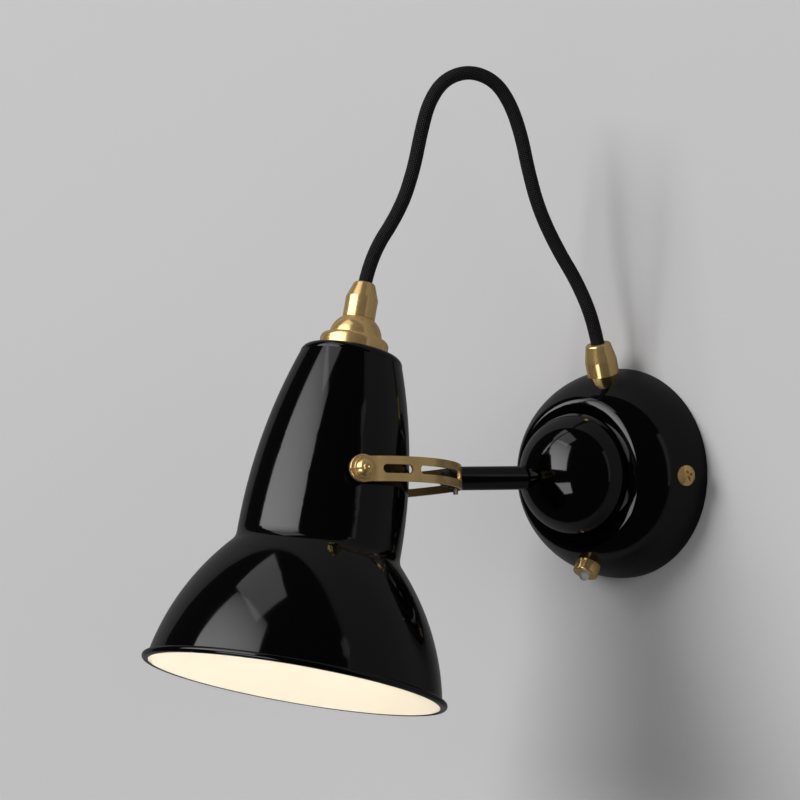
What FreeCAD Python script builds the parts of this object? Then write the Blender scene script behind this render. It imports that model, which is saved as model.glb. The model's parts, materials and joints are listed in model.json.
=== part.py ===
"""Articulating wall lamp: a domed wall cover with a swivelling ball, an arm, a slotted yoke and a tilting shade.

Row frame, millimetres: the origin is the middle of the cover's back, on the wall. The wall is the
plane Y = 0, the lamp stands out towards -Y, +Z is up and +X is to the right of someone facing the wall.
"""
import FreeCAD, Part
import math
import os

import Sketcher
from FreeCAD import Matrix, Placement, Rotation, Vector

doc = FreeCAD.newDocument("WallLamp")
sheet = doc.addObject("Spreadsheet::Sheet", "Sizes")

# Driving dimensions, in millimetres and degrees.
SIZES = {
    # wall cover: a spun dome, part of a sphere whose middle lies just behind the wall
    "cover_radius": 57.5, "cover_sink": 0.8, "cover_wall": 1.2, "crown_round": 6.0,
    "ledge_depth": 40.2, "side_screw_angle": 17.5,
    # ball that swivels in the cover's mouth
    "ball_radius": 33.7, "ball_wall": 1.4, "ball_depth": 36.0, "seam_gap": 0.4, "back_slot_height": 43.0,
    "back_slot_angle": 99.0, "pin_radius": 2.2, "block_radius": 9.0, "block_half": 16.5,
    "washer_thick": 1.0, "washer_radius": 8.0, "fork_thick": 2.0, "fork_width": 9.0, "running_gap": 0.3,
    "bore_gap": 0.05,
    # arm
    "arm_radius": 6.35, "arm_wall": 2.0, "arm_drop": 1.4, "arm_reach": 71.3, "arm_root": 11.3,
    "groove_at": 21.0, "groove_width": 4.6, "groove_depth": 1.0, "grub_radius": 2.0,
    "plug_length": 20.0, "bolt_radius": 2.5, "bolt_head_radius": 4.25, "bolt_head_height": 4.5,
    # yoke strap
    "strap_thick": 1.5, "strap_height": 13.0, "strap_inside": 45.0, "nose_round": 12.0, "nose_angle": 28.0,
    "yoke_length": 73.7, "slot_height": 4.6, "saddle_radius": 5.5, "saddle_depth": 4.8,
    "lock_pin_radius": 1.3,
    # shade, measured up from its rim
    "shade_height": 178.4, "pivot_height": 109.1, "shade_wall": 1.0, "enamel": 0.3, "neck_radius": 27.3,
    "neck_foot": 77.2, "shoulder_flat": 22.7, "shoulder_drop": 4.3, "waist_radius": 43.1,
    "waist_height": 73.6, "waist_round": 8.1, "flare_angle": 41.9, "bowl_round": 131.6, "rim_height": 0.4,
    "bead_radius": 1.7,
    # shade cap, cord grip and lampholder
    "nipple_radius": 5.0, "nipple_wall": 1.1, "flange_radius": 18.25, "flange_height": 8.2,
    "flange_round": 3.0, "dome_radius": 14.0, "dome_height": 10.3, "grip_radius": 8.6, "grip_top": 5.8,
    "grip_height": 19.8, "grip_taper": 8.5, "holder_radius": 13.5, "holder_length": 49.7,
    "socket_radius": 7.3, "socket_depth": 26.0, "bulb_radius": 22.5, "bulb_neck": 6.9, "bulb_wall": 0.8,
    # pivots of the shade
    "pivot_radius": 2.5, "knob_radius": 7.2, "knob_base": 2.4, "spacer_radius": 5.0,
    "nut_radius": 5.0, "nut_height": 3.9,
    # cord and its gland on the cover
    "cord_radius": 3.7, "gland_angle": 17.2, "gland_radius": 8.7, "gland_top": 6.5, "gland_height": 16.8,
    # push switch on the cover
    "switch_height": 30.47, "collar_radius": 6.8, "collar_height": 6.1, "button_radius": 2.75,
    "button_proud": 3.6, "button_travel": 2.5,
    # strap bracket behind the cover
    "bracket_thick": 1.5, "bracket_inset": 3.5, "bracket_width": 20.0, "slot_spacing": 88.0,
    "slot_length": 9.0, "slot_radius": 2.25, "lug_inset": 7.0,
    # pose at rest
    "rest_yaw": 27.6, "rest_roll": 8.6, "rest_tilt": 13.7,
}
for row, (alias, number) in enumerate(SIZES.items(), start=1):
    sheet.set(f"A{row}", alias)
    sheet.set(f"B{row}", str(number))
    sheet.setAlias(f"B{row}", alias)
doc.recompute()


class Size:
    """A length or angle with its value and the sheet expression that gives it."""

    def __init__(self, value, text):
        self.value = float(value)
        self.text = text

    def __add__(self, other):
        other = as_size(other)
        return Size(self.value + other.value, f"({self.text} + {other.text})")

    def __sub__(self, other):
        other = as_size(other)
        return Size(self.value - other.value, f"({self.text} - {other.text})")

    def __mul__(self, other):
        other = as_size(other)
        return Size(self.value * other.value, f"({self.text} * {other.text})")

    def __truediv__(self, other):
        other = as_size(other)
        return Size(self.value / other.value, f"({self.text} / {other.text})")

    def __neg__(self):
        return Size(-self.value, f"(0 - {self.text})")

    def __radd__(self, other):
        return as_size(other) + self

    def __rsub__(self, other):
        return as_size(other) - self


def as_size(thing):
    return thing if isinstance(thing, Size) else Size(thing, repr(float(thing)))


def size(alias):
    return Size(sheet.get(alias), f"Sizes.{alias}")


def root(thing):
    return Size(math.sqrt(thing.value), f"sqrt({thing.text})")


def leg(long_side, short_side):
    """The other side of a right triangle: the height of a sphere or circle over a radius."""
    long_side, short_side = as_size(long_side), as_size(short_side)
    return root(long_side * long_side - short_side * short_side)


def sine(angle):
    return Size(math.sin(math.radians(angle.value)), f"sin({angle.text} * 1deg)")


def cosine(angle):
    return Size(math.cos(math.radians(angle.value)), f"cos({angle.text} * 1deg)")


ZERO = as_size(0)
nodes = {}


def node(label, thing):
    """Names a finished sub-part; its label becomes its file's name."""
    thing.Label = label
    nodes[label] = thing
    return thing


def bind(thing, **properties):
    for name, amount in properties.items():
        thing.setExpression(name, as_size(amount).text)
    return thing


# ---------------------------------------------------------------- frames
def frame(origin, along, across):
    """A placement whose Z points along and whose X points as nearly across as it can."""
    z = Vector(along).normalize()
    x = Vector(across) - z * z.dot(Vector(across))
    x.normalize()
    y = z.cross(x)
    turn = Matrix(x.x, y.x, z.x, 0, x.y, y.y, z.y, 0, x.z, y.z, z.z, 0, 0, 0, 0, 1)
    return Placement(Vector(origin), Rotation(turn))


def shifted(place, x=0.0, y=0.0, z=0.0):
    return place.multiply(Placement(Vector(x, y, z), Rotation()))


UP = Vector(0, 0, 1)
RIGHT = Vector(1, 0, 0)
OUT = Vector(0, -1, 0)
yaw, roll, tilt = (math.radians(size(name).value) for name in ("rest_yaw", "rest_roll", "rest_tilt"))
arm_way = Vector(-math.sin(yaw), -math.cos(yaw), 0)
level_side = Vector(math.cos(yaw), -math.sin(yaw), 0)
pivot_way = level_side * math.cos(roll) + UP * math.sin(roll)
arm_up = arm_way.cross(pivot_way)
shade_up = arm_up * math.cos(tilt) - arm_way * math.sin(tilt)

ball_middle = OUT * size("ball_depth").value
arm_start = ball_middle - UP * size("arm_drop").value
pivot_middle = arm_start + arm_way * (size("arm_reach").value + size("yoke_length").value)
rim_middle = pivot_middle - shade_up * size("pivot_height").value
dome_middle = -OUT * size("cover_sink").value

ROSE = frame(dome_middle, OUT, RIGHT)
ARM = frame(arm_start, arm_way, pivot_way)
SHADE = frame(rim_middle, shade_up, pivot_way)
NEAR_PIVOT = frame(pivot_middle, pivot_way, arm_way)
FAR_PIVOT = frame(pivot_middle, -pivot_way, arm_way)


def on_dome(angle, sideways):
    """A frame at the dome's middle whose Z goes through its surface, leaning out from sideways by the angle."""
    lean = math.radians(angle)
    return frame(dome_middle, sideways * math.cos(lean) + OUT * math.sin(lean), OUT)


GLAND = on_dome(size("gland_angle").value, UP)
switch_rise = size("switch_height") / size("cover_radius")
SWITCH = on_dome(math.degrees(math.asin(switch_rise.value)), -UP)
SIDE_SCREWS = [on_dome(size("side_screw_angle").value, side) for side in (RIGHT, -RIGHT)]


# ---------------------------------------------------------------- shape helpers
def arc_between(start, end, radius, bulge):
    """The shorter arc from start to end; bulge is +1 when it bows to the left of the way from start to end."""
    chord = end - start
    half = chord.Length / 2
    left = Vector(-chord.y, chord.x, 0).normalize()
    centre = (start + end) * 0.5 - left * (bulge * math.sqrt(max(radius * radius - half * half, 0.0)))
    middle = centre + left * (bulge * radius)
    return Part.Arc(start, middle, end)


def turned(name, outline, place):
    """A body turned about its own Z. outline lists (radius, height) and, where an arc goes on to
    the next point, (radius, height, arc radius, bulge)."""
    body = doc.addObject("PartDesign::Body", name)
    plane = [f for f in body.Origin.OriginFeatures if f.Role == "XZ_Plane"][0]
    sketch = body.newObject("Sketcher::SketchObject", name + "_outline")
    sketch.AttachmentSupport = [(plane, "")]
    sketch.MapMode = "FlatFace"
    corners = [tuple(as_size(x) for x in corner[:2]) for corner in outline]
    ends = []
    for i, corner in enumerate(outline):
        start = Vector(corners[i][0].value, corners[i][1].value, 0)
        r, z = corners[(i + 1) % len(corners)]
        end = Vector(r.value, z.value, 0)
        if len(corner) == 2:
            index = sketch.addGeometry(Part.LineSegment(start, end), False)
            ends.append((index, 1, 2))
            continue
        radius = as_size(corner[2])
        arc = arc_between(start, end, radius.value, corner[3])
        index = sketch.addGeometry(arc, False)
        starts_here = sketch.getPoint(index, 1).distanceToPoint(start) < 1e-6
        ends.append((index, 1, 2) if starts_here else (index, 2, 1))
        number = sketch.addConstraint(Sketcher.Constraint("Radius", index, radius.value))
        sketch.setExpression(f"Constraints[{number}]", radius.text)
    for i, (index, first, last) in enumerate(ends):
        follower, follower_first, _ = ends[(i + 1) % len(ends)]
        sketch.addConstraint(Sketcher.Constraint("Coincident", index, last, follower, follower_first))
        for kind, axis, amount in (("DistanceX", -2, corners[i][0]), ("DistanceY", -1, corners[i][1])):
            if abs(amount.value) < 1e-9:
                sketch.addConstraint(Sketcher.Constraint("PointOnObject", index, first, axis))
                continue
            number = sketch.addConstraint(Sketcher.Constraint(kind, -1, 1, index, first, amount.value))
            sketch.setExpression(f"Constraints[{number}]", amount.text)
    turn = body.newObject("PartDesign::Revolution", name + "_turn")
    turn.Profile = sketch
    turn.ReferenceAxis = (sketch, ["V_Axis"])
    turn.Angle = 360
    body.Placement = place
    return body


def cylinder(name, radius, height, place, start=ZERO):
    thing = doc.addObject("Part::Cylinder", name)
    bind(thing, Radius=radius, Height=height)
    thing.Placement = shifted(place, z=as_size(start).value)
    return thing


def box(name, length, width, height, place):
    """A box centred on the frame's X and Y that stands on its XY plane."""
    thing = doc.addObject("Part::Box", name)
    bind(thing, Length=length, Width=width, Height=height)
    thing.Placement = shifted(place, x=-as_size(length).value / 2, y=-as_size(width).value / 2)
    return thing


def cut(name, base, *tools):
    for i, tool in enumerate(tools):
        thing = doc.addObject("Part::Cut", f"{name}_cut{i}")
        thing.Base = base
        thing.Tool = tool
        base = thing
    return base


def fused(name, *things):
    thing = doc.addObject("Part::MultiFuse", name)
    thing.Shapes = list(things)
    return thing


def common(name, first, second):
    thing = doc.addObject("Part::Common", name)
    thing.Base = first
    thing.Tool = second
    return thing


def group(name, *things):
    thing = doc.addObject("Part::Compound", name)
    thing.Links = list(things)
    return thing


def cross_slots(name, place, length, width, depth):
    """Two crossed grooves cut down into a screw's head from the frame's XY plane."""
    grooves = []
    for i, turn in enumerate((0, 90)):
        across = place.multiply(Placement(Vector(0, 0, -depth), Rotation(UP, turn + 20)))
        grooves.append(box(f"{name}{i}", length, width, depth + 1, across))
    return grooves


# ---------------------------------------------------------------- cover and what it carries
cover = size("cover_radius")
cover_in = cover - size("cover_wall")
sink = size("cover_sink")
mouth = size("ball_radius") + size("seam_gap")
ledge = size("ledge_depth") + sink
ledge_in = ledge - size("cover_wall")
crown_round = size("crown_round")
ledge_start = leg(cover - crown_round, ledge - crown_round)
crown = ledge_start * cover / (cover - crown_round)
crown_in = ledge_start * cover_in / (cover - crown_round)

cover_shell = turned("cover_shell", [
    (leg(cover, sink), sink, cover, -1),
    (crown, leg(cover, crown), crown_round, -1),
    (ledge_start, ledge), (mouth, ledge), (mouth, ledge_in),
    (ledge_start, ledge_in, crown_round - size("cover_wall"), 1),
    (crown_in, leg(cover_in, crown_in), cover_in, 1),
    (leg(cover_in, sink), sink),
], ROSE)
gland_shank = size("nipple_radius")
collar_shank = 5.5
screw_shank = 2.0
under_cover = cover - 9.5
cover_holes = [
    cylinder("gland_hole", gland_shank + size("bore_gap"), 40, GLAND, under_cover),
    cylinder("switch_hole", as_size(collar_shank) + size("bore_gap"), 40, SWITCH, under_cover),
] + [
    cylinder(f"screw_hole{i}", as_size(screw_shank) + 0.1, 20, place, under_cover)
    for i, place in enumerate(SIDE_SCREWS)
]
node("wall_cover", cut("wall_cover", cover_shell, *cover_holes))

gland_foot = cover
gland_end = cover + size("gland_height")
cord_bore = size("cord_radius") + size("bore_gap")
node("cord_gland", turned("cord_gland", [
    (cord_bore, 50), (gland_shank, 50), (gland_shank, leg(gland_foot, gland_shank), gland_foot, 1),
    (size("gland_radius"), leg(gland_foot, size("gland_radius"))), (size("gland_radius"), gland_end - 9.5),
    (size("gland_top") + 0.5, gland_end - 1.2, 1.3, -1), (size("gland_top") - 0.6, gland_end),
    (cord_bore, gland_end),
], GLAND))
node("gland_nut", cut(
    "gland_nut",
    cylinder("gland_nut_blank", 8, 3.5, GLAND, 51.9),
    cylinder("gland_nut_bore", gland_shank, 10, GLAND, 48),
))

collar_end = cover + size("collar_height")
button = size("button_radius")
button_bore = button + 0.1
collar_foot = cover - 7.5
nut_foot = cover - 5.5
node("switch_collar", turned("switch_collar", [
    (button_bore, collar_foot), (collar_shank, collar_foot),
    (collar_shank, leg(cover, collar_shank), cover, 1),
    (size("collar_radius"), leg(cover, size("collar_radius"))),
    (size("collar_radius"), collar_end - 0.7, 0.7, -1),
    (size("collar_radius") - 0.7, collar_end), (button_bore, collar_end),
], SWITCH))
node("switch_nut", cut(
    "switch_nut",
    cylinder("switch_nut_blank", 7.5, 3.4, SWITCH, nut_foot),
    cylinder("switch_nut_bore", collar_shank, 10, SWITCH, under_cover),
))
node("switch_body", turned("switch_body", [
    (0, collar_foot - 7.5), (5.2, collar_foot - 7.5), (5.2, collar_foot), (button_bore, collar_foot),
    (button_bore, collar_foot - 4), (0, collar_foot - 4),
], SWITCH))
button_end = collar_end + size("button_proud")
node("switch_button", turned("switch_button", [
    (0, nut_foot), (button, nut_foot), (button, button_end - button, button, -1), (0, button_end),
], SWITCH))


def cover_screw(i, place):
    head = turned(f"cover_screw{i}", [
        (0, under_cover), (screw_shank, under_cover), (screw_shank, cover), (5.5, cover),
        (5.5, cover + 0.9, 9.3, -1), (0, cover + 2.7),
    ], place)
    grooves = cross_slots(f"cover_screw_groove{i}_", shifted(place, z=cover.value + 2.7), 5.8, 1.5, 1.7)
    return cut(f"cover_screw{i}", head, *grooves)


node("cover_screws", group("cover_screws", *[cover_screw(i, p) for i, p in enumerate(SIDE_SCREWS)]))

# ---------------------------------------------------------------- bracket on the wall
WALL = frame(Vector(), OUT, RIGHT)
plate = size("bracket_thick")
lug_width = 14
lug_reach = cover - size("lug_inset")
strip_length = (cover - size("bracket_inset")) * 2
strip = box("bracket_strip", strip_length, size("bracket_width"), plate, WALL)
screw_lean = size("side_screw_angle")
lug_below = lug_reach * sine(screw_lean) / cosine(screw_lean) - 1.3
lug_above = 7.4
lugs = []
for i, place in enumerate(SIDE_SCREWS):
    lug_place = shifted(place, x=(lug_above - lug_below.value) / 2, z=lug_reach.value)
    lug = box(f"bracket_lug{i}", lug_below + lug_above, lug_width, plate, lug_place)
    lugs.append(lug)
behind_wall = box("behind_wall", 200, 60, 20, frame(-OUT * 20, OUT, RIGHT))
lug_holes = [
    cylinder(f"lug_hole{i}", screw_shank, 20, place, lug_reach - 8.5)
    for i, place in enumerate(SIDE_SCREWS)
]
slots = []
for i, way in enumerate((1, -1)):
    middle = shifted(WALL, x=way * size("slot_spacing").value / 2, z=-5)
    straight = size("slot_length") - size("slot_radius") * 2
    slots.append(box(f"wall_slot{i}", straight, size("slot_radius") * 2, 10, middle))
    for j, end in enumerate((1, -1)):
        spot = shifted(middle, x=end * straight.value / 2)
        slots.append(cylinder(f"wall_slot{i}_end{j}", size("slot_radius"), 10, spot))
lead_hole = cylinder("lead_hole", 6, 10, shifted(WALL, x=-22, z=-5))
node("wall_bracket", cut(
    "wall_bracket", fused("bracket_blank", strip, *lugs), behind_wall, lead_hole, *slots, *lug_holes,
))

fork_in = size("block_half") + size("running_gap") + size("washer_thick")
fork_reach = size("ball_depth") + 7.0
fork_base = box("fork_base", size("fork_width"), fork_in * 2 + size("fork_thick") * 2, size("fork_thick"), shifted(WALL, z=plate.value))
fork_arms = []
for way in (1, -1):
    lift = way * (fork_in.value + size("fork_thick").value / 2)
    fork_arms.append(box(
        f"fork_arm{way}", size("fork_width"), size("fork_thick"), fork_reach - plate, shifted(WALL, y=lift, z=plate.value)
    ))
PIN = frame(ball_middle, UP, RIGHT)
pin_end = fork_in + size("fork_thick") + 1.6
pin_hole = cylinder("fork_pin_hole", size("pin_radius"), 60, PIN, -30)
fork_screw_spots = [shifted(WALL, y=way * 7) for way in (1, -1)]
base_holes = [cylinder(f"fork_screw_hole{i}", 1.5, 10, spot) for i, spot in enumerate(fork_screw_spots)]
node("swivel_fork", cut("swivel_fork", fused("fork_blank", fork_base, *fork_arms), pin_hole, *base_holes))
node("fork_screws", group("fork_screws", *[
    turned(f"fork_screw{i}", [
        (0, plate), (1.5, plate), (1.5, plate + size("fork_thick")), (2.8, plate + size("fork_thick")),
        (2.8, plate + size("fork_thick") + 0.8), (0, plate + size("fork_thick") + 1.6),
    ], spot) for i, spot in enumerate(fork_screw_spots)
]))
node("swivel_pin", fused(
    "swivel_pin",
    cylinder("swivel_pin_shank", size("pin_radius"), pin_end * 2, PIN, -pin_end),
    cylinder("swivel_pin_head", size("pin_radius") + 1.5, 1.6, PIN, pin_end - 1.6),
))
node("swivel_washers", group("swivel_washers", *[
    cut(
        f"swivel_washer{i}",
        cylinder(f"washer_blank{i}", size("washer_radius"), size("washer_thick"), PIN, spot),
        cylinder(f"washer_bore{i}", size("pin_radius"), 60, PIN, -30),
    )
    for i, spot in enumerate((fork_in - size("washer_thick"), -fork_in))
]))

block_place = shifted(WALL, x=32, z=plate.value)
node("terminal_block", box("terminal_block", 12, 16, 11, block_place))
node("terminal_screws", group("terminal_screws", *[
    cylinder(f"terminal_screw{i}", 1.7, 1.0, shifted(block_place, x=x, y=y, z=11))
    for i, (x, y) in enumerate([(x, y) for x in (-3.4, 3.4) for y in (-5.2, 0, 5.2)])
]))

# ---------------------------------------------------------------- ball and swivel block
ball = size("ball_radius")
ball_in = ball - size("ball_wall")
arm = size("arm_radius")


def sphere(name, radius):
    thing = doc.addObject("Part::Sphere", name)
    bind(thing, Radius=radius)
    thing.Placement = PIN
    return thing


ball_space = sphere("ball_space", ball_in)
# The fork and its pin stand in a slot through the back of the ball, opposite the arm.
slot_half = size("back_slot_height") / 2
back_slot = cylinder("back_slot", ball + 5, slot_half * 2, frame(ball_middle, UP, -arm_way), -slot_half)
back_slot.setExpression("Angle", size("back_slot_angle").text)
back_slot.Placement = back_slot.Placement.multiply(Placement(Vector(), Rotation(UP, -size("back_slot_angle").value / 2)))
node("hub_ball", cut(
    "hub_ball", sphere("ball_outside", ball), ball_space, back_slot,
    cylinder("ball_arm_hole", arm + size("running_gap"), 50, ARM),
))
sleeve = common("sleeve", cylinder("sleeve_blank", size("block_radius"), 40, ARM), ball_space)
post = cylinder("post", size("block_radius"), size("block_half") * 2, PIN, -size("block_half"))
GRUB = frame(arm_start + arm_way * size("groove_at").value, arm_up, arm_way)
node("swivel_block", cut(
    "swivel_block",
    fused("swivel_block_blank", post, sleeve),
    cylinder("block_pin_bore", size("pin_radius") + size("bore_gap"), 60, PIN, -30),
    cylinder("block_arm_bore", arm + size("bore_gap"), 50, ARM, size("arm_root") - size("running_gap")),
    cylinder("block_grub_hole", size("grub_radius"), 20, GRUB),
))
grub_foot = arm - size("groove_depth") + size("running_gap")
node("retaining_screw", turned("retaining_screw", [
    (0, grub_foot), (size("grub_radius"), grub_foot), (size("grub_radius"), 8.4), (1.0, 8.4), (1.0, 7.4),
    (0, 7.4),
], GRUB))

# ---------------------------------------------------------------- arm
reach = size("arm_reach")
arm_in = arm - size("arm_wall")
nose = size("nose_round")
half_strap = size("strap_thick") / 2
NOSE = frame(arm_start + arm_way * (reach + nose + half_strap).value, arm_up, arm_way)
nose_outside = cylinder("nose_outside", nose + half_strap, 40, NOSE, -20)
groove_foot = size("groove_at") - size("groove_width") / 2
groove_top = size("groove_at") + size("groove_width") / 2
groove = arm - size("groove_depth")
tube = turned("arm_blank", [
    (arm_in, size("arm_root")), (arm, size("arm_root")), (arm, groove_foot), (groove, groove_foot),
    (groove, groove_top), (arm, groove_top), (arm, reach + 4), (arm_in, reach + 4),
], ARM)
node("arm_tube", cut("arm_tube", tube, nose_outside))
plug = cylinder("plug_blank", arm_in, size("plug_length") + 4, ARM, reach - size("plug_length"))
bolt_way = cylinder("plug_bore", size("bolt_radius"), 60, ARM, reach - size("plug_length") + 4)
node("arm_plug", cut("arm_plug", plug, nose_outside, bolt_way))

saddle_end = reach + size("strap_thick") + size("saddle_depth")
nose_inside = cylinder("nose_inside", nose - half_strap, 40, NOSE, -20)
saddle_blank = cylinder("saddle_blank", size("saddle_radius"), saddle_end - reach, ARM, reach)
lock_gap = 0.2
lock_at = reach + size("strap_thick") + size("lock_pin_radius") + lock_gap
LOCK = frame(arm_start + arm_way * lock_at.value, arm_up, arm_way)
lock_foot = size("strap_height") / 2 + 2
lock_top = -2.6
node("yoke_saddle", cut(
    "yoke_saddle",
    common("saddle_seated", saddle_blank, nose_inside),
    cylinder("saddle_bore", size("bolt_radius"), 40, ARM, reach - 10),
    cylinder("saddle_pin_hole", size("lock_pin_radius"), 12, LOCK, lock_top - 12),
))
node("lock_pin", cylinder("lock_pin", size("lock_pin_radius"), lock_foot + lock_top, LOCK, -lock_foot))
bolt_head = size("bolt_head_radius")
node("yoke_bolt", turned("yoke_bolt", [
    (0, reach - size("plug_length") + 4), (size("bolt_radius"), reach - size("plug_length") + 4),
    (size("bolt_radius"), saddle_end), (bolt_head, saddle_end),
    (bolt_head, saddle_end + size("bolt_head_height") - 1.2, 1.2, -1),
    (bolt_head - 1.2, saddle_end + size("bolt_head_height")), (0, saddle_end + size("bolt_head_height")),
], ARM))


# ---------------------------------------------------------------- yoke strap
def strap_solid(inner, outer, from_angle, to_angle, height, with_nose):
    """One side of the strap between two offsets of its middle line: nose arc, flank arc and straight leg.

    The strap's plane holds the arm's way (x here) and the pivots' way (y here)."""
    first = math.radians(size("nose_angle").value)
    flank = flank_round
    flank_middle = Vector(
        nose.value * (1 - math.cos(first)) + flank * math.cos(first), (nose.value - flank) * math.sin(first), 0
    )

    def on_nose(angle, off):
        return Vector(nose.value - (nose.value + off) * math.cos(angle), (nose.value + off) * math.sin(angle), 0)

    def on_flank(angle, off):
        return flank_middle + Vector(-math.cos(angle), math.sin(angle), 0) * (flank + off)

    edges = []
    for off in (outer, inner):
        run = []
        if with_nose:
            run.append(Part.Arc(on_nose(0, off), on_nose(first / 2, off), on_nose(first, off)).toShape())
        middle = (from_angle + to_angle) / 2
        run.append(Part.Arc(on_flank(from_angle, off), on_flank(middle, off), on_flank(to_angle, off)).toShape())
        if with_nose:
            tip = Vector(yoke, on_flank(math.pi / 2, off).y, 0)
            run.append(Part.LineSegment(on_flank(math.pi / 2, off), tip).toShape())
        edges.append(run)
    starts = [run[0].valueAt(run[0].FirstParameter) for run in edges]
    tips = [run[-1].valueAt(run[-1].LastParameter) for run in edges]
    loop = edges[0] + edges[1]
    loop += [Part.LineSegment(starts[0], starts[1]).toShape(), Part.LineSegment(tips[0], tips[1]).toShape()]
    face = Part.Face(Part.Wire(Part.__sortEdges__(loop)))
    return face.extrude(Vector(0, 0, height)).translated(Vector(0, 0, -height / 2)), on_flank, flank_middle


yoke = size("yoke_length").value - half_strap.value
strap_middle = (size("strap_inside") + half_strap).value
nose_sine = math.sin(math.radians(size("nose_angle").value))
flank_round = (strap_middle - nose.value * nose_sine) / (1 - nose_sine)
strap_height = size("strap_height").value
slot_height = size("slot_height").value
slot_angles = [(math.radians(34), math.radians(65)), (math.radians(72.5), math.radians(83))]

half, _, _ = strap_solid(
    -half_strap.value, half_strap.value, math.radians(size("nose_angle").value), math.pi / 2, strap_height, True
)
ear = Part.makeCylinder(
    strap_height / 2, size("strap_thick").value,
    Vector(yoke, size("strap_inside").value, 0), Vector(0, 1, 0),
)
half = half.fuse(ear)
cutters = [Part.makeCylinder(
    size("pivot_radius").value + size("bore_gap").value, 20, Vector(yoke, size("strap_inside").value - 10, 0), Vector(0, 1, 0)
)]
for low, high in slot_angles:
    ribbon, on_flank, centre = strap_solid(-3.0, 3.0, low, high, slot_height, False)
    cutters.append(ribbon)
    for angle in (low, high):
        way = on_flank(angle, 0.0) - centre
        cutters.append(Part.makeCylinder(slot_height / 2, 6.0, on_flank(angle, -3.0), way))
for cutter in cutters:
    half = half.cut(cutter)
other_half = half.mirror(Vector(), Vector(0, 1, 0))
bolt_hole = Part.makeCylinder(size("bolt_radius").value, 20, Vector(-10, 0, 0), Vector(1, 0, 0))
strap = doc.addObject("Part::Feature", "yoke_strap")
strap.Shape = half.fuse(other_half).cut(bolt_hole).removeSplitter()
strap_frame = frame(arm_start + arm_way * (reach + half_strap).value, arm_up, arm_way)
flip = Placement(Vector(), Rotation(RIGHT, 180))
strap.Placement = strap_frame.multiply(flip)
node("yoke_strap", strap)

# ---------------------------------------------------------------- shade
neck_top = size("shade_height") - size("shoulder_drop")
neck_rise = neck_top - size("neck_foot")
neck_grow = size("waist_radius") - size("neck_radius")
neck_curve = (neck_grow * neck_grow + neck_rise * neck_rise) / (neck_grow * 2)
flare = size("flare_angle")
waist_round = size("waist_round")
bowl = size("bowl_round")
flare_r = size("waist_radius") + waist_round * (1 - cosine(flare))
flare_z = size("waist_height") - waist_round * sine(flare)
rim_sine = sine(flare) - (flare_z - size("rim_height")) / bowl
rim_cosine = root(1 - rim_sine * rim_sine)
neck_sine = neck_rise / neck_curve
neck_cosine = root(1 - neck_sine * neck_sine)


def shade_line(offset):
    """The shade's line from shoulder to rim, offset inwards: points with the arcs that join them."""
    offset = as_size(offset)
    top = size("shade_height") - offset
    neck_middle = size("waist_radius") - neck_curve
    shoulder = size("shoulder_drop") - offset
    return [
        (size("shoulder_flat"), top, shoulder * 1.02 + 0.1, 1),
        (neck_middle + (neck_curve - offset) * neck_cosine,
         size("neck_foot") + (neck_curve - offset) * neck_sine, neck_curve - offset, 1),
        (size("waist_radius") - offset, size("neck_foot")),
        (size("waist_radius") - offset, size("waist_height"), waist_round + offset, -1),
        (flare_r - offset * cosine(flare), flare_z - offset * sine(flare), bowl - offset, 1),
        (flare_r - bowl * cosine(flare) + (bowl - offset) * rim_cosine,
         flare_z - bowl * sine(flare) + (bowl - offset) * rim_sine),
    ]


def reversed_line(line):
    """The same line walked the other way, so its arcs bulge to the other side."""
    back = []
    for i in range(len(line) - 1, -1, -1):
        before = line[i - 1] if i else ()
        back.append(line[i][:2] + ((before[2], -before[3]) if len(before) == 4 else ()))
    return back


nipple = size("nipple_radius")
shade_wall = size("shade_wall")
outer_line = shade_line(0)
shell_blank = turned(
    "shell_blank",
    [(nipple, size("shade_height"))] + outer_line + reversed_line(shade_line(shade_wall))
    + [(nipple, size("shade_height") - shade_wall)],
    SHADE,
)
bead = doc.addObject("Part::Torus", "rim_bead")
rim_edge = flare_r - bowl * cosine(flare) + (bowl - shade_wall / 2) * rim_cosine
bind(bead, Radius1=rim_edge + size("bead_radius") * 0.75, Radius2=size("bead_radius"))
bead.Placement = shifted(SHADE, z=size("bead_radius").value)
pivot_hole = cylinder("shade_pivot_holes", size("pivot_radius"), 120, NEAR_PIVOT, -60)
node("shade_shell", cut("shade_shell", fused("shell_with_bead", shell_blank, bead), pivot_hole))

coat_in = shade_wall + size("enamel")
holder = size("holder_radius")
coat_blank = turned(
    "coat_blank",
    [(nipple, size("shade_height") - shade_wall)] + shade_line(shade_wall) + reversed_line(shade_line(coat_in))
    + [(nipple, size("shade_height") - coat_in)],
    SHADE,
)
bead_space = doc.addObject("Part::Torus", "bead_space")
bind(bead_space, Radius1=rim_edge + size("bead_radius") * 0.75, Radius2=size("bead_radius"))
bead_space.Placement = bead.Placement
coat_pivot_hole = cylinder("coat_pivot_holes", size("pivot_radius"), 120, NEAR_PIVOT, -60)
node("shade_enamel", cut("shade_enamel", coat_blank, coat_pivot_hole, bead_space))

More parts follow.
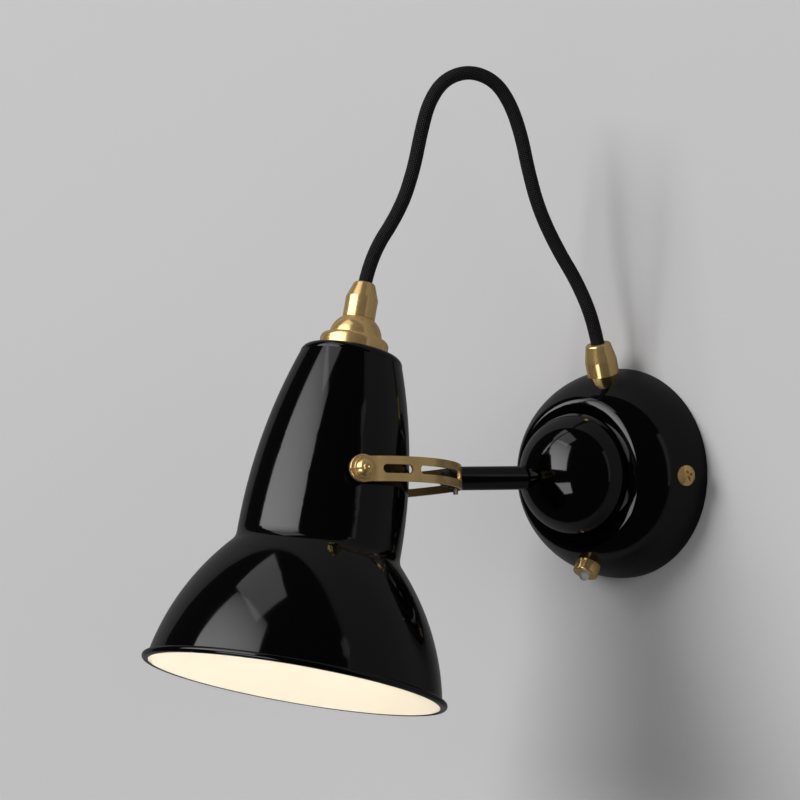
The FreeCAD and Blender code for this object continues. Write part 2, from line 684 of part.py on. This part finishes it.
# ---------------------------------------------------------------- cap, grip and lampholder
deck = size("shade_height")
flange_top = deck + size("flange_height")
dome_top = flange_top + size("dome_height")
grip_end = dome_top + size("grip_height")
node("shade_cap", turned("shade_cap", [
    (12.6, deck), (size("flange_radius"), deck),
    (size("flange_radius"), flange_top - size("flange_round"), size("flange_round"), -1),
    (size("flange_radius") - size("flange_round"), flange_top),
    (size("dome_radius"), flange_top + 0.3, 12.5, -1),
    (size("grip_radius") - 0.2, dome_top), (nipple, dome_top), (nipple, dome_top - 3.5),
    (12.6, flange_top - 1.2),
], SHADE))
node("cord_grip", turned("cord_grip", [
    (nipple, dome_top), (size("grip_radius"), dome_top), (size("grip_radius"), grip_end - size("grip_taper")),
    (size("grip_top"), grip_end - 0.6), (size("grip_top") - 0.6, grip_end), (cord_bore, grip_end),
    (cord_bore, grip_end - 11.5), (nipple, grip_end - 11.5),
], SHADE))
holder_top = deck - coat_in
holder_end = holder_top - size("holder_length")
node("cap_nipple", turned("cap_nipple", [
    (nipple - size("nipple_wall"), holder_top - 9), (nipple, holder_top - 9), (nipple, grip_end - 11.5),
    (nipple - size("nipple_wall"), grip_end - 11.5),
], SHADE))
socket = size("socket_radius")
node("lampholder", turned("lampholder", [
    (0, holder_end + size("socket_depth")), (socket, holder_end + size("socket_depth")), (socket, holder_end),
    (holder, holder_end), (holder, holder_top - 6), (holder - 4.5, holder_top), (nipple, holder_top),
    (nipple, holder_top - 9), (0, holder_top - 9),
], SHADE))
bulb_neck = size("bulb_neck")
base_end = holder_end + 4.7
base_top = holder_end + size("socket_depth") - size("running_gap")
node("bulb_base", turned("bulb_base", [
    (0, base_end), (bulb_neck, base_end), (bulb_neck, base_top - 2.5), (3.0, base_top), (0, base_top),
], SHADE))
globe = size("bulb_radius")
globe_in = globe - size("bulb_wall")
globe_middle = base_end - 42
side = math.sqrt(0.5)
node("bulb_glass", turned("bulb_glass", [
    (0, globe_middle - globe, globe, -1), (globe * side, globe_middle - globe * side, globe, -1),
    (globe * side, globe_middle + globe * side, 26, 1), (bulb_neck, base_end - 5), (bulb_neck, base_end),
    (0, base_end), (0, base_end - size("bulb_wall")), (bulb_neck - size("bulb_wall"), base_end - size("bulb_wall")),
    (bulb_neck - size("bulb_wall"), base_end - 5, 26 + size("bulb_wall"), -1),
    (globe_in * side, globe_middle + globe_in * side, globe_in, 1),
    (globe_in * side, globe_middle - globe_in * side, globe_in, 1), (0, globe_middle - globe_in),
], SHADE))

# ---------------------------------------------------------------- pivots
pivot_rise = size("pivot_height") - size("neck_foot")
shade_side = size("waist_radius") - neck_curve + leg(neck_curve, pivot_rise)
inside = size("strap_inside")
knob_foot = inside + size("strap_thick") + size("running_gap")
knob = size("knob_radius")
step_one = knob_foot + size("knob_base")
step_two = step_one + 1.8
dome_tip = step_two + 2.6
knob_tip = dome_tip + 1.4
spacer_foot = shade_side - 2.5
shade_solid = turned("shade_solid", [(0, size("shade_height"))] + outer_line + [(0, outer_line[-1][1])], SHADE)
spacer_end = inside - size("running_gap")
pivot = size("pivot_radius")
nut_top = shade_side - coat_in - 0.9


def pivot_knob(i, place):
    return turned(f"pivot_knob{i}", [
        (0, knob_foot + 2), (pivot, knob_foot + 2), (pivot, knob_foot), (knob, knob_foot),
        (knob, step_one - 0.5, 0.5, -1), (knob - 0.5, step_one), (knob - 1.6, step_one),
        (knob - 1.6, step_two - 0.4, 0.4, -1), (knob - 2.0, step_two), (knob - 2.6, step_two, 4.6, -1),
        (1.9, dome_tip), (1.9, knob_tip - 0.4, 0.4, -1), (1.5, knob_tip), (0.9, knob_tip), (0, knob_tip - 0.7),
    ], place)


def pivot_screw(i, place):
    return cylinder(f"pivot_screw{i}", pivot, knob_foot + 2 - (nut_top - size("nut_height") - 1), place,
                    nut_top - size("nut_height") - 1)


def pivot_spacer(i, place):
    return cut(
        f"pivot_spacer{i}",
        cylinder(f"spacer_blank{i}", size("spacer_radius"), spacer_end - spacer_foot, place, spacer_foot),
        cylinder(f"spacer_bore{i}", pivot, 80, place),
        shade_solid,
    )


def pivot_nut(i, place):
    blank = doc.addObject("Part::Prism", f"nut_blank{i}")
    blank.Polygon = 6
    bind(blank, Circumradius=size("nut_radius"), Height=size("nut_height"))
    blank.Placement = shifted(place, z=(nut_top - size("nut_height")).value)
    return cut(f"pivot_nut{i}", blank, cylinder(f"nut_bore{i}", pivot, 80, place))


PIVOTS = list(enumerate((NEAR_PIVOT, FAR_PIVOT)))
node("pivot_knobs", group("pivot_knobs", *[pivot_knob(i, p) for i, p in PIVOTS]))
node("pivot_screws", group("pivot_screws", *[pivot_screw(i, p) for i, p in PIVOTS]))
node("pivot_spacers", group("pivot_spacers", *[pivot_spacer(i, p) for i, p in PIVOTS]))
node("pivot_nuts", group("pivot_nuts", *[pivot_nut(i, p) for i, p in PIVOTS]))

# ---------------------------------------------------------------- cord
# The cord stands in a loop over the arm. Its free points lie in the upright plane through the two
# glands: distance from the cover's gland along that plane, and height.
gland_way = UP * math.cos(math.radians(size("gland_angle").value)) + OUT * math.sin(
    math.radians(size("gland_angle").value)
)
gland_mouth = dome_middle + gland_way * gland_end.value
grip_mouth = rim_middle + shade_up * grip_end.value
LOOP = [
    (11.5, 103.4), (24.0, 122.7), (34.3, 143.3), (40.3, 164.0), (44.4, 183.0), (50.6, 200.0), (59.7, 212.2),
    (74.0, 216.9), (88.2, 212.0), (97.0, 199.5), (101.6, 182.5), (105.6, 163.0), (113.0, 141.5),
]
inside_gland, past_gland, past_grip = 6.0, 12.0, 14.0
loop_way = Vector(grip_mouth.x - gland_mouth.x, grip_mouth.y - gland_mouth.y, 0).normalize()
route = [gland_mouth - gland_way * inside_gland, gland_mouth + gland_way * past_gland]
route += [
    Vector(gland_mouth.x, gland_mouth.y, 0) + loop_way * along + UP * height for along, height in LOOP
]
route += [grip_mouth + shade_up * past_grip, grip_mouth - shade_up * inside_gland]
FIRST_JOIN, SECOND_JOIN = 4, 11  # the cord is carried on from one body to the next after these points


def rounded(points):
    """For each inner point the start, middle and end of the arc that rounds it, and its radius."""
    arcs = []
    for before, corner, after in zip(points, points[1:], points[2:]):
        back, on = before - corner, after - corner
        trim = 0.45 * min(back.Length, on.Length)
        half_turn = (math.pi - back.getAngle(on)) / 2
        bend = trim / math.tan(half_turn)
        back.normalize()
        on.normalize()
        inward = (back + on).normalize()
        middle = corner + inward * (bend / math.cos(half_turn) - bend)
        arcs.append((corner + back * trim, middle, corner + on * trim, bend))
    return arcs


def cord_tube(label, start, arcs, end):
    """A round cord from start to end along straight runs joined by tangent arcs."""
    radius = size("cord_radius").value
    edges = []
    for first, middle, last, _ in arcs:
        edges += [Part.LineSegment(start, first).toShape(), Part.Arc(first, middle, last).toShape()]
        start = last
    edges.append(Part.LineSegment(start, end).toShape())
    path = Part.Wire(edges)
    begin = path.OrderedVertexes[0].Point
    ring = Part.Wire(Part.Circle(begin, arcs[0][0] - begin, radius).toShape())
    shape = path.makePipeShell([ring], True, False)
    ratio = shape.Volume / (math.pi * radius * radius * path.Length)
    bends = ", ".join(f"{bend:.1f}" for *_, bend in arcs)
    print(f"{label}: length {path.Length:.1f}, bend radii {bends}, volume against length {ratio:.4f}")
    thing = doc.addObject("Part::Feature", label)
    thing.Shape = shape
    node(label, thing)
    return path.Length


arcs = rounded(route)
joins = [(route[i] + route[i + 1]) * 0.5 for i in (FIRST_JOIN, SECOND_JOIN)]
cord_length = cord_tube("cord_from_cover", route[0], arcs[:FIRST_JOIN], joins[0])
cord_length += cord_tube("cord_arch", joins[0], arcs[FIRST_JOIN:SECOND_JOIN], joins[1])
cord_length += cord_tube("cord_to_shade", joins[1], arcs[SECOND_JOIN:], route[-1])
print(f"cord length {cord_length:.1f}")

# ---------------------------------------------------------------- checks and files
doc.recompute()
for thing in doc.Objects:
    if "Invalid" in thing.State or "Error" in thing.State:
        raise SystemExit(f"{thing.Name} ({thing.Label}) failed: {thing.State}")
for label, thing in nodes.items():
    if thing.Shape.isNull() or not thing.Shape.isValid() or not thing.Shape.Solids:
        raise SystemExit(f"{label} has no sound shape")
os.makedirs("parts", exist_ok=True)
for label, thing in nodes.items():
    thing.Shape.exportStep(f"parts/{label}.step")
    print(f"{label}: {len(thing.Shape.Solids)} solid(s), {thing.Shape.Volume / 1000:.2f} cm3")
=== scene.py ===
"""The wall lamp's looks: finishes, braided cord, wall and light.

Lengths are in metres, in the row frame, where a comment doesn't say otherwise."""
import json
import math

import bpy
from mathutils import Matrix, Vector


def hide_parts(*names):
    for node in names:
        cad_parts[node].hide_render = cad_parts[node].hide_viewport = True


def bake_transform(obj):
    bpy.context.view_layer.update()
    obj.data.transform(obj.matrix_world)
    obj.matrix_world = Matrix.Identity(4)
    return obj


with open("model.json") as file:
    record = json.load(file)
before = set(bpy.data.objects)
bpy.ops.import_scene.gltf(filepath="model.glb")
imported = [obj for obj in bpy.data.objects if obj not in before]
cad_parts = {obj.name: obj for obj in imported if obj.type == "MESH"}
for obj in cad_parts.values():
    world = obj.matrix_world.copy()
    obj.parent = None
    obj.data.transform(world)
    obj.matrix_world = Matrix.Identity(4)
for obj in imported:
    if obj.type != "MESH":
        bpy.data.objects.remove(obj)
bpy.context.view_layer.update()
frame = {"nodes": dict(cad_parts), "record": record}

nodes = frame["nodes"]
scene = bpy.context.scene

# ---------------------------------------------------------------- camera
CAMERA_AT = Vector((0.9705, -1.3275, 0.0403))
CAMERA_TURN = math.radians(40.4)
SENSOR_WIDTH, FOCAL_LENGTH = 36.0, 134.33
VIEW_DEPTH = 20.0
camera_data = bpy.data.cameras.new("camera")
camera_data.sensor_width = SENSOR_WIDTH
camera_data.lens = FOCAL_LENGTH
camera_data.clip_end = VIEW_DEPTH
camera = bpy.data.objects.new("camera", camera_data)
scene.collection.objects.link(camera)
camera.location = CAMERA_AT
camera.rotation_euler = (math.radians(90.0), 0.0, CAMERA_TURN)
scene.camera = camera

# ---------------------------------------------------------------- cord route
MM = 0.001
UP = Vector((0, 0, 1))
OUT = Vector((0, -1, 0))


def millimetres(*numbers):
    return Vector(numbers) * MM


# The construction's sizes that the cord's route hangs on. Lengths are in millimetres, apart from
# CORD_RADIUS in metres; angles are written in degrees and kept in radians.
REST_YAW, REST_ROLL, REST_TILT = (math.radians(a) for a in (27.6, 8.6, 13.7))
COVER_RADIUS, COVER_SINK, GLAND_HEIGHT = 57.5, 0.8, 16.8
GLAND_LEAN = math.radians(17.2)
BALL_DEPTH, ARM_DROP, ARM_REACH, YOKE_LENGTH = 36, 1.4, 71.3, 73.7
PIVOT_HEIGHT, SHADE_HEIGHT, FLANGE_HEIGHT, DOME_HEIGHT, GRIP_HEIGHT = 109.1, 178.4, 8.2, 10.3, 19.8
CORD_RADIUS = 3.7 * MM
INSIDE_MOUTHS, PAST_GLAND, PAST_GRIP = 6, 12, 14

arm_way = Vector((-math.sin(REST_YAW), -math.cos(REST_YAW), 0))
level_side = Vector((math.cos(REST_YAW), -math.sin(REST_YAW), 0))
pivot_way = level_side * math.cos(REST_ROLL) + UP * math.sin(REST_ROLL)
arm_up = arm_way.cross(pivot_way)
shade_up = arm_up * math.cos(REST_TILT) - arm_way * math.sin(REST_TILT)
ball_middle = millimetres(0, -BALL_DEPTH, 0)
dome_middle = millimetres(0, COVER_SINK, 0)
arm_start = ball_middle - UP * ARM_DROP * MM
pivot_middle = arm_start + arm_way * (ARM_REACH + YOKE_LENGTH) * MM
rim_middle = pivot_middle - shade_up * PIVOT_HEIGHT * MM

gland_way = UP * math.cos(GLAND_LEAN) + OUT * math.sin(GLAND_LEAN)
gland_mouth = dome_middle + gland_way * (COVER_RADIUS + GLAND_HEIGHT) * MM
grip_mouth = rim_middle + shade_up * (SHADE_HEIGHT + FLANGE_HEIGHT + DOME_HEIGHT + GRIP_HEIGHT) * MM
# In millimetres: (along the level way from gland to grip, above the origin). The points were
# chosen so that the cord covers the photo's; its depth isn't seen there.
LOOP = [
    (11.5, 103.4), (24.0, 122.7), (34.3, 143.3), (40.3, 164.0), (44.4, 183.0), (50.6, 200.0),
    (59.7, 212.2), (74.0, 216.9), (88.2, 212.0), (97.0, 199.5), (101.6, 182.5), (105.6, 163.0),
    (113.0, 141.5),
]
loop_way = Vector((grip_mouth.x - gland_mouth.x, grip_mouth.y - gland_mouth.y, 0)).normalized()
route = [gland_mouth - gland_way * INSIDE_MOUTHS * MM, gland_mouth + gland_way * PAST_GLAND * MM]
below_gland = Vector((gland_mouth.x, gland_mouth.y, 0))
for along, height in LOOP:
    route.append(below_gland + loop_way * along * MM + UP * height * MM)
route += [grip_mouth + shade_up * PAST_GRIP * MM, grip_mouth - shade_up * INSIDE_MOUTHS * MM]
FIRST_JOIN, SECOND_JOIN = 4, 11


def spline_line(points, step):
    """Points along the smooth curve that touches the middle of each leg of the route, with each
    corner's place in the list."""
    middles = [points[0]] + [(a + b) / 2 for a, b in zip(points[1:-2], points[2:-1])] + [points[-1]]
    line, marks = [points[0].copy()], {}
    for i, corner in enumerate(points[1:-1]):
        start, end = middles[i], middles[i + 1]
        count = max(2, round(((corner - start).length + (end - corner).length) / step))
        for k in range(1, count + 1):
            t = k / count
            line.append(start * (1 - t) ** 2 + corner * 2 * t * (1 - t) + end * t * t)
        marks[i + 1] = len(line) - 1
    return line, marks


line, marks = spline_line(route, 1.0 * MM)
cord_parts = [
    ("cord_from_cover", line[:marks[FIRST_JOIN] + 1]),
    ("cord_arch", line[marks[FIRST_JOIN]:marks[SECOND_JOIN] + 1]),
    ("cord_to_shade", line[marks[SECOND_JOIN]:]),
]


# ---------------------------------------------------------------- shader helpers
class Look:
    """A material with its node tree, its shader and short ways to add nodes."""

    def __init__(self, name):
        self.material = bpy.data.materials.new(name)
        self.material.use_nodes = True
        self.tree = self.material.node_tree
        self.shader = self.tree.nodes["Principled BSDF"]

    def set(self, **sockets):
        for name, value in sockets.items():
            self.shader.inputs[name.replace("_", " ")].default_value = value
        return self

    def add(self, kind, inputs=None, **settings):
        node = self.tree.nodes.new(kind)
        for name, value in settings.items():
            setattr(node, name, value)
        for name, value in (inputs or {}).items():
            if isinstance(value, bpy.types.NodeSocket):
                self.tree.links.new(value, node.inputs[name])
            else:
                node.inputs[name].default_value = value
        return node

    def link(self, socket, name):
        self.tree.links.new(socket, self.shader.inputs[name])

    def bump(self, height, strength, distance):
        inputs = {"Strength": strength, "Distance": distance, "Height": height}
        node = self.add("ShaderNodeBump", inputs)
        self.link(node.outputs["Normal"], "Normal")

    def noise(self, place, scale, detail):
        inputs = {"Vector": place, "Scale": scale, "Detail": detail}
        return self.add("ShaderNodeTexNoise", inputs).outputs[0]

    def ramp(self, factor, stops):
        """A colour ramp between two stops, each a position with a grey value or a colour."""
        node = self.add("ShaderNodeValToRGB", {"Fac": factor})
        for element, (position, value) in zip(node.color_ramp.elements, stops):
            element.position = position
            color = (value, value, value) if isinstance(value, float) else value
            element.color = (*color, 1)
        return node.outputs["Color"]


def gloss_black(name):
    """Sprayed enamel: faint smudges in its gloss and a trace of orange peel."""
    roughness, peel_strength, peel_depth = 0.07, 0.02, 0.00004
    look = Look(name).set(Base_Color=(0.0008, 0.0008, 0.0009, 1), IOR=1.5)
    place = look.add("ShaderNodeTexCoord").outputs["Object"]
    smudge = look.noise(place, 35.0, 3.0)
    look.link(look.ramp(smudge, [(0.35, roughness * 0.85), (0.7, roughness * 1.3)]), "Roughness")
    peel = look.noise(place, 420.0, 1.0)
    look.bump(peel, peel_strength, peel_depth)
    return look.material


def satin_brass(name):
    """Lacquered brass: small changes of tone and a fine grain."""
    roughness, tint, shade = 0.2, (0.93, 0.64, 0.27), 0.86
    look = Look(name).set(Metallic=0.78)
    place = look.add("ShaderNodeTexCoord").outputs["Object"]
    tarnish = look.noise(place, 90.0, 4.0)
    dull = tuple(channel * shade for channel in tint)
    look.link(look.ramp(tarnish, [(0.35, dull), (0.6, tint)]), "Base Color")
    grain = look.noise(place, 900.0, 2.0)
    look.link(look.ramp(grain, [(0.3, roughness * 0.8), (0.7, roughness * 1.25)]), "Roughness")
    return look.material


def plain(name, color, roughness, metallic=0.0, **more):
    look = Look(name).set(Base_Color=(*color, 1), Roughness=roughness)
    return look.set(Metallic=metallic, **more).material


black_enamel = gloss_black("black_enamel")
brass = satin_brass("brass")
steel = plain("zinc_steel", (0.55, 0.55, 0.53), 0.35, 1.0)
black_steel = plain("black_steel", (0.012, 0.012, 0.012), 0.35)
black_plastic = plain("black_plastic", (0.015, 0.015, 0.015), 0.5)
ivory_plastic = plain("ivory_plastic", (0.75, 0.70, 0.58), 0.5)
lit_white = plain("lit_white", (0.93, 0.905, 0.84), 0.45)
clear_plastic = plain("clear_plastic", (0.9, 0.92, 0.94), 0.15, Transmission_Weight=0.6)
bulb_glow = plain(
    "bulb_glow", (1.0, 0.9, 0.75), 0.4, Emission_Color=(1.0, 0.93, 0.81, 1), Emission_Strength=11.0,
)

LOOKS = {
    "black_enamel": black_enamel, "white_enamel": lit_white, "brass": brass, "zinc_steel": steel,
    "black_steel": black_steel, "black_plastic": black_plastic, "ivory_plastic": ivory_plastic,
    "clear_plastic": clear_plastic, "bulb_glass": bulb_glow,
}
record_slots = {entry["node"]: entry["material_slot"] for entry in frame["record"]["subparts"]}
for name, thing in nodes.items():
    look = LOOKS.get(record_slots[name])
    if look is None:
        continue
    if not thing.material_slots:
        thing.data.materials.append(look)
    for slot in thing.material_slots:
        slot.material = look

# ---------------------------------------------------------------- braided cord
STRANDS_ROUND, STRANDS_PER_METRE = 12.0, 520.0
WEAVE_BUMP, WEAVE_DEPTH = 0.6, 0.0004


def braid_look():
    """Two sets of strands that wind opposite ways round the cord, drawn on its map, with a painted
    highlight on the weave's raised crossings.
    """
    look = Look("black_braid").set(Base_Color=(0.004, 0.004, 0.004, 1))
    look.set(Roughness=0.5, Specular_IOR_Level=0.1)
    uv = look.add("ShaderNodeUVMap", uv_map="route").outputs["UV"]
    split = look.add("ShaderNodeSeparateXYZ", {"Vector": uv})
    around, along = split.outputs["X"], split.outputs["Y"]

    def worked(a, b, operation="MULTIPLY"):
        return look.add("ShaderNodeMath", {0: a, 1: b}, operation=operation).outputs[0]

    strands = []
    for sign in (1.0, -1.0):
        wound, climbed = worked(around, STRANDS_ROUND), worked(along, sign * STRANDS_PER_METRE)
        wave = worked(worked(wound, climbed, "ADD"), 2 * math.pi)
        strands.append(look.add("ShaderNodeMath", {0: wave}, operation="SINE").outputs[0])
    weave = worked(strands[0], strands[1])
    look.bump(weave, WEAVE_BUMP, WEAVE_DEPTH)
    # Painted highlight: the colour follows the bump's height, lighter on the raised crossings of
    # the strands and near black in the grooves.
    tone = look.ramp(worked(worked(weave, 0.5), 0.5, "ADD"), [(0.6, 0.001), (0.95, 0.06)])
    look.link(tone, "Base Color")
    return look.material


braid = braid_look()


def tube(name, points, radius, sides=32):
    """A closed round tube round a line of points, with a map of (round, along in metres)."""
    tangents = []
    for i in range(len(points)):
        ahead, behind = points[min(i + 1, len(points) - 1)], points[max(i - 1, 0)]
        tangents.append((ahead - behind).normalized())
    across = tangents[0].orthogonal().normalized()
    vertices, travelled, far = [], [0.0], 0.0
    for i, (point, tangent) in enumerate(zip(points, tangents)):
        across = (across - tangent * across.dot(tangent)).normalized()
        other = tangent.cross(across)
        for k in range(sides):
            turn = 2 * math.pi * k / sides
            vertices.append(point + (across * math.cos(turn) + other * math.sin(turn)) * radius)
        if i:
            far += (points[i] - points[i - 1]).length
            travelled.append(far)
    faces, maps = [], []
    for i in range(len(points) - 1):
        for k in range(sides):
            after = (k + 1) % sides
            here, there = i * sides, (i + 1) * sides
            faces.append((here + k, here + after, there + after, there + k))
            left, right, low, high = k / sides, (k + 1) / sides, travelled[i], travelled[i + 1]
            maps += [(left, low), (right, low), (right, high), (left, high)]
    for ring, order in ((0, range(sides - 1, -1, -1)), (len(points) - 1, range(sides))):
        faces.append(tuple(ring * sides + k for k in order))
        maps += [(k / sides, travelled[ring]) for k in order]
    mesh = bpy.data.meshes.new(name)
    mesh.from_pydata([tuple(v) for v in vertices], [], faces)
    layer = mesh.uv_layers.new(name="route")
    for corner, place in zip(layer.data, maps):
        corner.uv = place
    for face in mesh.polygons:
        face.use_smooth = len(face.vertices) == 4
    thing = bpy.data.objects.new(name, mesh)
    scene.collection.objects.link(thing)
    return thing


cord_exits = [gland_mouth, cord_parts[1][1][0], grip_mouth]
GRIP_BEND = 10 * MM
cord_bends = [
    ("root", "hub", gland_mouth, cord_parts[0][1][-1]),
    ("hub", "arm", cord_parts[1][1][0], cord_parts[1][1][-1]),
    ("arm", "shade", cord_parts[2][1][0], grip_mouth + shade_up * GRIP_BEND),
]
for (name, points), leaves, (first, second, start, end) in zip(cord_parts, cord_exits, cord_bends):
    piece = tube("braided_" + name, points, CORD_RADIUS)
    piece.data.materials.append(braid)
    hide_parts(name)
    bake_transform(piece)

# ---------------------------------------------------------------- wall
WALL_TONE, MIRRORED_WALL_TONE = (0.58, 0.572, 0.575), (0.13, 0.13, 0.13)
WALL_REACH, WALL_HALF_HEIGHT = 6, 4
WALL_GAP = 0.0004

# Gloss mirrors a darker wall than the one that is seen, and less of the room's light below. Both
# are tuned to bring the enamel near the photo's black; neither is measured light.
wall_paint = Look("wall_paint").set(Roughness=0.9)
wall_ray = wall_paint.add("ShaderNodeLightPath").outputs["Is Glossy Ray"]
wall_tone = wall_paint.ramp(wall_ray, [(0.0, WALL_TONE), (1.0, MIRRORED_WALL_TONE)])
wall_paint.link(wall_tone, "Base Color")
wall_corners = [
    (side * WALL_REACH, WALL_GAP, level * WALL_HALF_HEIGHT)
    for side, level in ((-1, -1), (1, -1), (1, 1), (-1, 1))
]
wall_mesh = bpy.data.meshes.new("wall")
wall_mesh.from_pydata(wall_corners, [], [(0, 1, 2, 3)])
wall_mesh.materials.append(wall_paint.material)
wall = bpy.data.objects.new("wall", wall_mesh)
scene.collection.objects.link(wall)


# ---------------------------------------------------------------- light
def area_light(name, place, aim, width, height, power, spread):
    data = bpy.data.lights.new(name, "AREA")
    data.shape = "RECTANGLE"
    data.size, data.size_y = width, height
    data.energy = power
    data.spread = math.radians(spread)
    lamp = bpy.data.objects.new(name, data)
    scene.collection.objects.link(lamp)
    lamp.location = place
    lamp.rotation_euler = (Vector(aim) - Vector(place)).to_track_quat("-Z", "Y").to_euler()
    return lamp


FRONT = Vector((0.648, -0.7615, 0))
LEFT = Vector((-0.7615, -0.648, 0))
LAMP_MIDDLE = Vector((-0.04, -0.10, 0.0))


def panel(name, turn, lift, distance, width, height, brightness, role, spread=180.0, upright=False):
    """A softbox, turned to the left of the camera's direction, lifted, and aimed at the lamp or
    upright.

    brightness is its radiance. A "shine" panel shows only in gloss, a "fill" panel only lights."""
    turn, lift = math.radians(turn), math.radians(lift)
    level = FRONT * math.cos(turn) + LEFT * math.sin(turn)
    place = LAMP_MIDDLE + level * distance + UP * distance * math.tan(lift)
    aim = Vector((LAMP_MIDDLE.x, LAMP_MIDDLE.y, place.z)) if upright else LAMP_MIDDLE
    power = brightness * math.pi * width * height
    lamp = area_light(name, place, aim, width, height, power, spread)
    lamp.visible_glossy = role == "shine"
    lamp.visible_diffuse = role == "fill"


panel("left_panel", 62, 42, 2.0, 2.5, 2.9, 2.3, "shine", spread=130.0, upright=True)
panel("upper_panel", 72, 66, 1.0, 1.5, 0.9, 0.95, "shine")
panel("low_panel", 42, -24, 2.0, 1.5, 0.8, 3.0, "shine")
panel("right_panel", -62, 15, 2.4, 1.2, 2.4, 0.3, "shine")
panel("right_fill", -30, 10, 5.0, 3.0, 3.0, 2.0, "fill")
panel("key", 69, 28, 9.0, 5.0, 5.0, 11.3, "fill")

ROOM_LIGHT, MIRRORED_ROOM_LIGHT = 0.23, 0.02
world = bpy.data.worlds.new("room")
scene.world = world
world.use_nodes = True
ray = world.node_tree.nodes.new("ShaderNodeLightPath")
level_of = world.node_tree.nodes.new("ShaderNodeMapRange")
level_of.inputs["To Min"].default_value = ROOM_LIGHT
level_of.inputs["To Max"].default_value = MIRRORED_ROOM_LIGHT
background = world.node_tree.nodes["Background"]
background.inputs["Color"].default_value = (1, 1, 1, 1)
world.node_tree.links.new(ray.outputs["Is Glossy Ray"], level_of.inputs["Value"])
world.node_tree.links.new(level_of.outputs["Result"], background.inputs["Strength"])
scene.view_settings.view_transform = "Standard"
